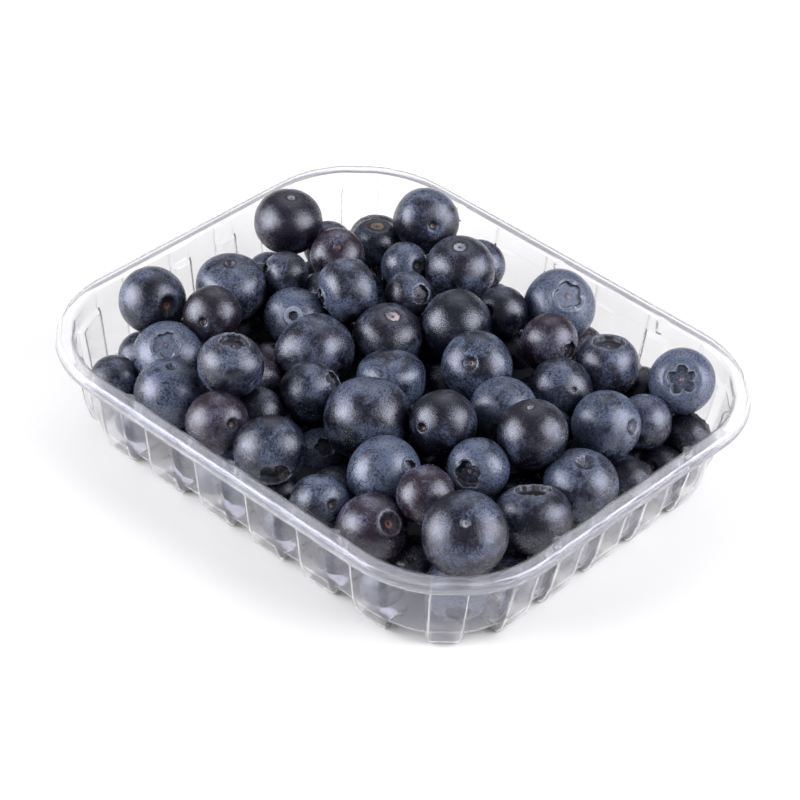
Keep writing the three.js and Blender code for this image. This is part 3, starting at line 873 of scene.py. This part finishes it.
def crown_rings(berry, angle, draw, ring):
    """The crown from its middle out. Each ring has a radius, a height, a paint and its share."""
    kind = CROWNS.get(berry["style"], CROWNS["open"])
    least, reach, tip, ridge, depth, floor_shade, floor_wax, rim_wax, wax = kind
    inside = WAXED if floor_wax > floor_shade else HOLLOW_SHADE
    shown = max(floor_shade, floor_wax)
    crown = berry["crown"]
    top = body_height(crown * 1.15, berry["flatness"])
    petal = calyx_petals(angle, draw)
    fringe = waves(angle, (7, 11, 16), 0.022, draw)
    folds = waves(angle, (4, 7, 11), 0.2, draw)
    depth = depth * draw(0.85, 1.15) * (0.6 + crown)
    hole = crown * (least + reach * petal + fringe)
    lip = tip * (1.15 - petal) * draw(0.8, 1.2) + ridge * 0.5 + fringe * 0.4
    floor = hole * 0.9
    # The nub in the middle, with painted shade round its foot.
    ring(0.0, top - depth * 0.7, NUB, 0.9)
    ring(crown * 0.045, top - depth * 0.7, NUB, 0.9)
    ring(crown * 0.09, top - depth * 0.8, NUB, 0.6)
    ring(crown * 0.13, top - depth * 0.98, HOLLOW_SHADE, 0.6)
    # The hole's folded floor, in painted shade, or in pale wax where the kind has more wax than
    # shade.
    ring(floor * 0.4, top - depth * (0.86 + folds * 0.4), inside, shown * 0.7 + folds)
    ring(floor * 0.7, top - depth * (0.9 - folds * 0.5), inside, shown * 0.8 + folds)
    ring(floor * 0.9, top - depth, inside, shown + folds)
    # The hole's side in painted shade, and its pale edge.
    ring(floor, top - depth * 0.9, HOLLOW_SHADE, 0.9)
    ring(hole * 0.955, top - depth * 0.3 + lip * 0.3, HOLLOW_SHADE, 0.95)
    ring(hole * 0.985, top + lip * 0.8, DRY, 0.8)
    ring(hole * 1.01, top + lip, RIM, rim_wax)
    ring(hole * 1.05, top + lip * 0.92, RIM, rim_wax * 0.5)
    # The ridge outside it, and painted shade in the crease where the skin starts.
    pale = RIM if berry["style"] == "ring" else WAXED
    ring(hole * 0.6 + crown * 0.42, top + lip * 0.5 + ridge * 0.45, pale, wax)
    ring(crown * (1.03 + fringe), top + ridge, pale, wax)
    ring(crown * (1.09 + fringe), top + ridge * 0.6, WAXED, wax * 0.6)
    ring(crown * 1.16, top + ridge * 0.02, HOLLOW_SHADE, 0.45)


def scar_rings(berry, angle, draw, ring):
    """The little pit where the stem came off, from its edge to its middle."""
    filled, dark, depth = SCARS.get(berry["style"], SCARS["pit"])
    scar = berry["scar"]
    bottom = -body_height(scar * BODY_TO, berry["flatness"])
    ragged = scar * (1 + waves(angle, (2, 3, 7, 12), 0.05, draw))
    side = 0.75 + 0.25 * np.cos(angle - draw(0, FULL_TURN))
    colour = berry["scar_colour"]
    ring(scar * 1.5, bottom + depth * 0.04, HOLLOW_SHADE, 0.0)
    # Painted shade down the pit's side and in its middle, round the scar's own colour.
    ring(ragged * dark * 1.12, bottom + depth * 0.12, HOLLOW_SHADE, 0.3)
    ring(ragged * dark, bottom + depth * 0.3, HOLLOW_SHADE, 0.9)
    ring(ragged * filled * 1.05, bottom + depth * 0.6, HOLLOW_SHADE, 0.9)
    ring(ragged * filled * 0.95, bottom + depth * 0.62, colour, 0.9 * side)
    ring(ragged * filled * 0.6, bottom + depth * 0.65, colour, 0.95 * side)
    ring(ragged * filled * 0.3, bottom + depth * 0.7, colour, 0.7 * side)
    ring(ragged * filled * 0.18, bottom + depth * 0.85, HOLLOW_SHADE, 0.8)
    ring(0.0, bottom + depth, HOLLOW_SHADE, 0.9)


def berry_points(berry, draw):
    """One berry's points in its own frame, crown up, in radii, with the paint at each point."""
    around, steps = FINE_GRID if berry["fine"] else COARSE_GRID
    angle = np.linspace(0, 2 * math.pi, around, endpoint=False)
    one = np.ones(around)
    points, paint = [], []

    def ring(radius, height, colour, shown):
        radius = radius * one
        height = height * one
        points.append(np.stack([radius * np.cos(angle), radius * np.sin(angle), height], axis=1))
        shown = np.clip(shown * one, 0, 1)
        paint.append(np.column_stack([np.tile(colour, (around, 1)), shown]))

    crown_rings(berry, angle, draw, ring)
    flatness = berry["flatness"]
    power = roundness(flatness)
    first = body_angle(berry["crown"] * BODY_FROM, flatness)
    last = math.pi - body_angle(berry["scar"] * BODY_TO, flatness)
    for step in range(steps + 1):
        polar = first + (last - first) * step / steps
        height = signed_power(math.cos(polar), power)
        ring(math.sin(polar) ** power, height * flatness, WAXED, 0.0)
    scar_rings(berry, angle, draw, ring)
    return np.concatenate(points), np.concatenate(paint)


def unit_vector(draw):
    vector = np.array([draw(-1, 1), draw(-1, 1), draw(-1, 1)])
    return vector / np.linalg.norm(vector)


def lumpy(points, draw):
    """Makes a round berry uneven, with long waves and a few dents."""
    shift = np.zeros(len(points))
    for _ in range(BUMP_WAVES):
        wave = unit_vector(draw) * draw(*BUMP_TIGHTNESS)
        shift += draw(*BUMP_HEIGHT) * np.sin(points @ wave + draw(0, FULL_TURN))
    for _ in range(DENTS):
        nearness = points @ unit_vector(draw)
        shift -= draw(*DENT_DEPTH) * np.exp((nearness - 1) / draw(*DENT_WIDTH))
    return points * (1 + shift)[:, None]


def rotation_to(axis, spin):
    """The turn that takes +Z to an axis, after a spin about it."""
    turn = Vector((0, 0, 1)).rotation_difference(axis).to_matrix()
    return np.array(turn @ Matrix.Rotation(spin, 3, "Z"))


def finished_berry(berry, draw):
    """One berry's points in place, with each point's paint, look and place in the texture."""
    local, paint = berry_points(berry, draw)
    turned = lumpy(local, draw) @ rotation_to(berry["axis"], draw(0, FULL_TURN)).T
    look = [share + draw(*spread) for share, spread in zip(LOOKS[berry["look"]], LOOK_SPREADS)]
    looks = np.tile([*look, 0.0], (len(local), 1))
    looks[:, 3] = np.clip(local[:, 2] * 1.6 - 0.35, 0, 1)  # how near the crown a point is
    home = np.array([draw(*TEXTURE_ROOM), draw(*TEXTURE_ROOM), draw(*TEXTURE_ROOM)])
    spin = rotation_to(Vector(unit_vector(draw)), draw(0, FULL_TURN))
    space = local * berry["radius"] @ spin.T + home
    return turned * berry["radius"] + berry["at"], paint, looks, space


def add_fruit(name, berries, material, draw):
    """All berries of one look as one piece, with its paint and texture space as attributes."""
    made = [finished_berry(berry, draw) for berry in berries]
    points, paints, looks, spaces = (np.concatenate(values) for values in zip(*made))
    around, _ = FINE_GRID if berries[0]["fine"] else COARSE_GRID
    rings = len(points) // len(berries) // around
    starts = range(0, len(points), rings * around)
    faces = np.concatenate([ring_faces(rings, around, start) for start in starts])
    piece = mesh_piece(name, points, faces.tolist())
    mesh = piece.data
    add_values(mesh, "paint", "FLOAT_COLOR", paints)
    add_values(mesh, "look", "FLOAT_COLOR", np.clip(looks, 0, 1))
    add_values(mesh, "space", "FLOAT_VECTOR", spaces)
    add_map(mesh, len(berries), rings, around)
    mesh.materials.append(material)
    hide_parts("berries")


def add_values(mesh, name, kind, values):
    attribute = mesh.attributes.new(name, kind, "POINT")
    field = "vector" if kind == "FLOAT_VECTOR" else "color"
    attribute.data.foreach_set(field, np.ascontiguousarray(values, dtype=np.float32).ravel())


def add_map(mesh, count, rings, around):
    """Lays each berry out in its own square of the texture map."""
    side = math.ceil(math.sqrt(count))
    left = np.arange(around) / around
    right = (np.arange(around) + 1) / around
    corners = []
    for berry in range(count):
        for ring in range(rings - 1):
            low = np.full(around, ring / (rings - 1))
            high = np.full(around, (ring + 1) / (rings - 1))
            quad = np.stack([left, low, left, high, right, high, right, low], axis=1)
            quad = quad.reshape(around, 4, 2) * MAP_SHARE + MAP_MARGIN
            corners.append((quad + (berry % side, berry // side)) / side)
    layer = mesh.uv_layers.new(name="map")
    layer.data.foreach_set("uv", np.concatenate(corners).astype(np.float32).ravel())


# ---- The core ----


def core_point(x, y, polar):
    """The lumpy core's point above or below a point of its outline."""
    angle = math.atan2(y, x)
    bumps = [high * math.sin(angle * across + polar * down) for high, across, down in CORE_LUMPS]
    lump = sum(bumps)
    spread = math.sin(polar) ** CORE_SPREAD
    z = CORE_MIDDLE + CORE_HALF * signed_power(math.cos(polar), CORE_RISE)
    return x * spread + lump, y * spread + lump, z + lump * math.sin(polar) / 2


def add_core(material):
    """A lumpy core, well inside the heap, that shuts out light between the berries. Its near-black
    colour is painted shade, seen as deep gaps between them.
    """
    outline = [
        outline_point(side, (side["half"] + CORNER_ARC / 2) * step / CORE_STEPS, CORE_INSET)
        for side in SIDES
        for step in range(-CORE_STEPS, CORE_STEPS)
    ]
    polars = [math.pi * ring / CORE_RINGS for ring in range(CORE_RINGS + 1)]
    points = [core_point(x, y, polar) for polar in polars for x, y in outline]
    core = mesh_piece("heap_core", points, ring_faces(CORE_RINGS + 1, len(outline)).tolist())
    core.data.materials.append(material)
    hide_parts("berries")


# ---- Materials ----


class Graph:
    """Short calls for a material's node tree."""

    def __init__(self, name):
        self.material = bpy.data.materials.new(name)
        self.material.use_nodes = True
        self.tree = self.material.node_tree
        self.shader = self.tree.nodes["Principled BSDF"]

    def node(self, kind, **settings):
        made = self.tree.nodes.new(kind)
        for key, value in settings.items():
            setattr(made, key, value)
        return made

    def link(self, source, target):
        self.tree.links.new(source, target)

    def put(self, socket, value):
        """Gives a socket its value: another socket, a number, or a colour without alpha."""
        if isinstance(value, bpy.types.NodeSocket):
            self.link(value, socket)
        elif isinstance(value, tuple):
            socket.default_value = (*value, 1)
        else:
            socket.default_value = value

    def shade(self, name, value):
        """Gives one of the shader's own sockets its value."""
        self.put(self.shader.inputs[name], value)

    def attribute(self, name):
        return self.node("ShaderNodeAttribute", attribute_name=name)

    def math(self, operation, a, b=0.0, clamp=False):
        made = self.node("ShaderNodeMath", operation=operation, use_clamp=clamp)
        self.put(made.inputs[0], a)
        self.put(made.inputs[1], b)
        return made.outputs[0]

    def weighted(self, *parts):
        """The sum of values, each given with its weight."""
        scaled = [self.math("MULTIPLY", value, weight) for value, weight in parts]
        total = scaled[0]
        for part in scaled[1:]:
            total = self.math("ADD", total, part)
        return total

    def mix(self, share, a, b):
        """A mix of two colours, which are sockets 6 and 7 of a Mix node, and 2 on its way out."""
        made = self.node("ShaderNodeMix", data_type="RGBA")
        self.put(made.inputs[0], share)
        self.put(made.inputs[6], a)
        self.put(made.inputs[7], b)
        return made.outputs[2]

    def noise(self, space, scale, detail=3.0, roughness=0.5, distortion=0.0):
        made = self.node("ShaderNodeTexNoise")
        self.link(space, made.inputs["Vector"])
        made.inputs["Scale"].default_value = scale
        made.inputs["Detail"].default_value = detail
        made.inputs["Roughness"].default_value = roughness
        made.inputs["Distortion"].default_value = distortion
        return made.outputs["Fac"]

    def ramp(self, value, low, high, to_low=0.0, to_high=1.0):
        made = self.node("ShaderNodeMapRange", interpolation_type="SMOOTHSTEP")
        self.put(made.inputs["Value"], value)
        self.put(made.inputs["From Min"], low)
        self.put(made.inputs["From Max"], high)
        self.put(made.inputs["To Min"], to_low)
        self.put(made.inputs["To Max"], to_high)
        return made.outputs[0]

    def bump(self, height, strength, distance):
        made = self.node("ShaderNodeBump")
        made.inputs["Strength"].default_value = strength
        made.inputs["Distance"].default_value = distance
        self.link(height, made.inputs["Height"])
        self.shade("Normal", made.outputs["Normal"])


def skin_and_bloom(g, plum, brown):
    """The colours of a berry's bare skin and of the bloom on it."""
    skin = g.mix(g.math("MULTIPLY", plum, 0.75), SKIN, PLUM_SKIN)
    skin = g.mix(g.math("MULTIPLY", brown, 0.6), skin, BROWN_SKIN)
    bloom = g.mix(g.math("MULTIPLY", plum, 0.6), BLOOM, PLUM_BLOOM)
    bloom = g.mix(g.math("MULTIPLY", brown, 0.5), bloom, BROWN_BLOOM)
    return skin, bloom


def bloom_flecks(g, space, mottle, streaks, grain):
    """How the bloom is broken up: by grain and streaks, with a few thin bright lines."""
    fleck = g.math("ADD", g.ramp(grain, 0.34, 0.66), g.ramp(streaks, 0.36, 0.64, 0.0, 0.8))
    fleck = g.ramp(fleck, 0.3, 1.4, 0.15, 2.0)
    line = g.math("ABSOLUTE", g.math("SUBTRACT", g.noise(space, 0.5, 3.0, 0.6, 1.5), 0.5))
    line = g.math("MULTIPLY", g.ramp(line, 0.0, 0.014, 1.0, 0.0), g.ramp(mottle, 0.45, 0.6))
    return g.math("ADD", fleck, line)


def berry_material():
    """Blue-black skin under a rubbed, scratched wax bloom."""
    g = Graph("berry_skin")
    space = g.attribute("space").outputs["Vector"]
    look = g.attribute("look")
    paint = g.attribute("paint")
    parts = g.node("ShaderNodeSeparateColor")
    g.link(look.outputs["Color"], parts.inputs[0])
    amount, plum, brown = parts.outputs

    stretch = g.node("ShaderNodeMapping")
    stretch.inputs["Scale"].default_value = (0.5, 0.5, 2.2)
    g.link(space, stretch.inputs["Vector"])
    patches = g.noise(space, 0.17, 2.0, 0.5, 0.6)
    mottle = g.noise(space, 0.7, 5.0, 0.8, 0.5)
    streaks = g.noise(stretch.outputs[0], 1.0, 4.0, 0.75, 2.5)
    grain = g.noise(space, 2.0, 4.0, 0.85)

    skin, bloom = skin_and_bloom(g, plum, brown)
    near_crown = g.math("MULTIPLY", look.outputs["Alpha"], amount)
    cover = g.weighted((patches, 1.3), (mottle, 0.8), (amount, 0.5), (near_crown, 0.35))
    fleck = bloom_flecks(g, space, mottle, streaks, grain)
    cover = g.math("MULTIPLY", g.ramp(cover, 1.15, 1.76), fleck, clamp=True)
    painted = g.math("MULTIPLY", paint.outputs["Alpha"], g.ramp(mottle, 0.3, 0.6, 0.45, 1.0))
    colour = g.mix(painted, g.mix(cover, skin, bloom), paint.outputs["Color"])
    rough = g.ramp(fleck, 0.15, 2.0, 0.13, 0.32)

    g.shade("Base Color", colour)
    g.shade("Roughness", g.math("ADD", rough, g.math("MULTIPLY", painted, 0.3)))
    g.shade("IOR", SKIN_IOR)
    g.shade("Specular Tint", SKIN_TINT)
    g.bump(g.weighted((mottle, 1.0), (grain, 0.3), (streaks, 0.3)), 0.5, 0.0002)
    return g.material


def plastic_material():
    """Clear, slightly hazy thermoformed sheet, white where it is bent sharply: partly stress
    whitening and partly painted highlight.
    """
    g = Graph("clear_plastic")
    where = g.node("ShaderNodeTexCoord").outputs["Object"]
    haze = g.noise(where, 90.0, 3.0, 0.6)
    white_and_highlight = g.attribute("white_and_highlight").outputs["Fac"]
    g.shade("Base Color", PLASTIC)
    g.shade("Specular Tint", PLASTIC_TINT)
    g.shade("IOR", PLASTIC_IOR)
    g.shade("Transmission Weight", g.ramp(white_and_highlight, 0.0, 1.0, CLEAR, CLEAR_WHERE_WHITE))
    g.shade("Roughness", g.ramp(haze, 0.3, 0.7, 0.07, 0.13))
    g.bump(g.noise(where, 60.0, 2.0, 0.5), 0.1, 0.001)
    return g.material


def core_material():
    g = Graph("heap_core")
    where = g.node("ShaderNodeTexCoord").outputs["Object"]
    g.shade("Base Color", g.mix(g.noise(where, 300.0), CORE_SHADE_DARK, CORE_SHADE_PALE))
    g.shade("Roughness", 0.6)
    return g.material


# ---- Floor and light ----


def add_floor():
    mesh = bpy.data.meshes.new("floor")
    corners = [(-1, -1), (1, -1), (1, 1), (-1, 1)]
    mesh.from_pydata([(x * FLOOR_HALF, y * FLOOR_HALF, 0) for x, y in corners], [], [(0, 1, 2, 3)])
    floor = bpy.data.objects.new("floor", mesh)
    bpy.context.scene.collection.objects.link(floor)
    g = Graph("floor")
    g.shade("Base Color", FLOOR_COLOUR)
    g.shade("Roughness", 0.8)
    g.shade("Specular IOR Level", 0.1)
    mesh.materials.append(g.material)


def add_softbox(name, direction, distance, width, height, power):
    data = bpy.data.lights.new(name, "AREA")
    data.shape = "RECTANGLE"
    data.size = width
    data.size_y = height
    data.energy = power
    data.color = SOFTBOX_COLOUR
    light = bpy.data.objects.new(name, data)
    direction = Vector(direction).normalized()
    light.location = direction * distance + Vector((0, 0, AIM_HEIGHT))
    light.rotation_mode = "QUATERNION"
    light.rotation_quaternion = direction.to_track_quat("Z", "Y")
    bpy.context.scene.collection.objects.link(light)


def add_light():
    for name, settings in SOFTBOXES.items():
        add_softbox(name, *settings)
    world = bpy.data.worlds.new("studio")
    world.use_nodes = True
    sky = world.node_tree.nodes["Background"]
    sky.inputs["Color"].default_value = (*SKY_COLOUR, 1)
    sky.inputs["Strength"].default_value = SKY_STRENGTH
    bpy.context.scene.world = world
    bpy.context.scene.view_settings.view_transform = "Standard"


# ---- The object ----


def add_all_fruit(material):
    """The fruit as one piece for each look, the berries that show apart from those below."""
    fruit = all_berries()
    draw = Draw(PAINT_SEED)
    for look in LOOKS:
        shown = [berry for berry in fruit if berry["look"] == look and berry["fine"]]
        under = [berry for berry in fruit if berry["look"] == look and not berry["fine"]]
        if shown:
            add_fruit("berries_" + look, shown, material, draw)
        if under:
            add_fruit("berries_under_" + look, under, material, draw)


add_camera()
add_light()
add_floor()
add_tray(plastic_material())
add_core(core_material())
add_all_fruit(berry_material())
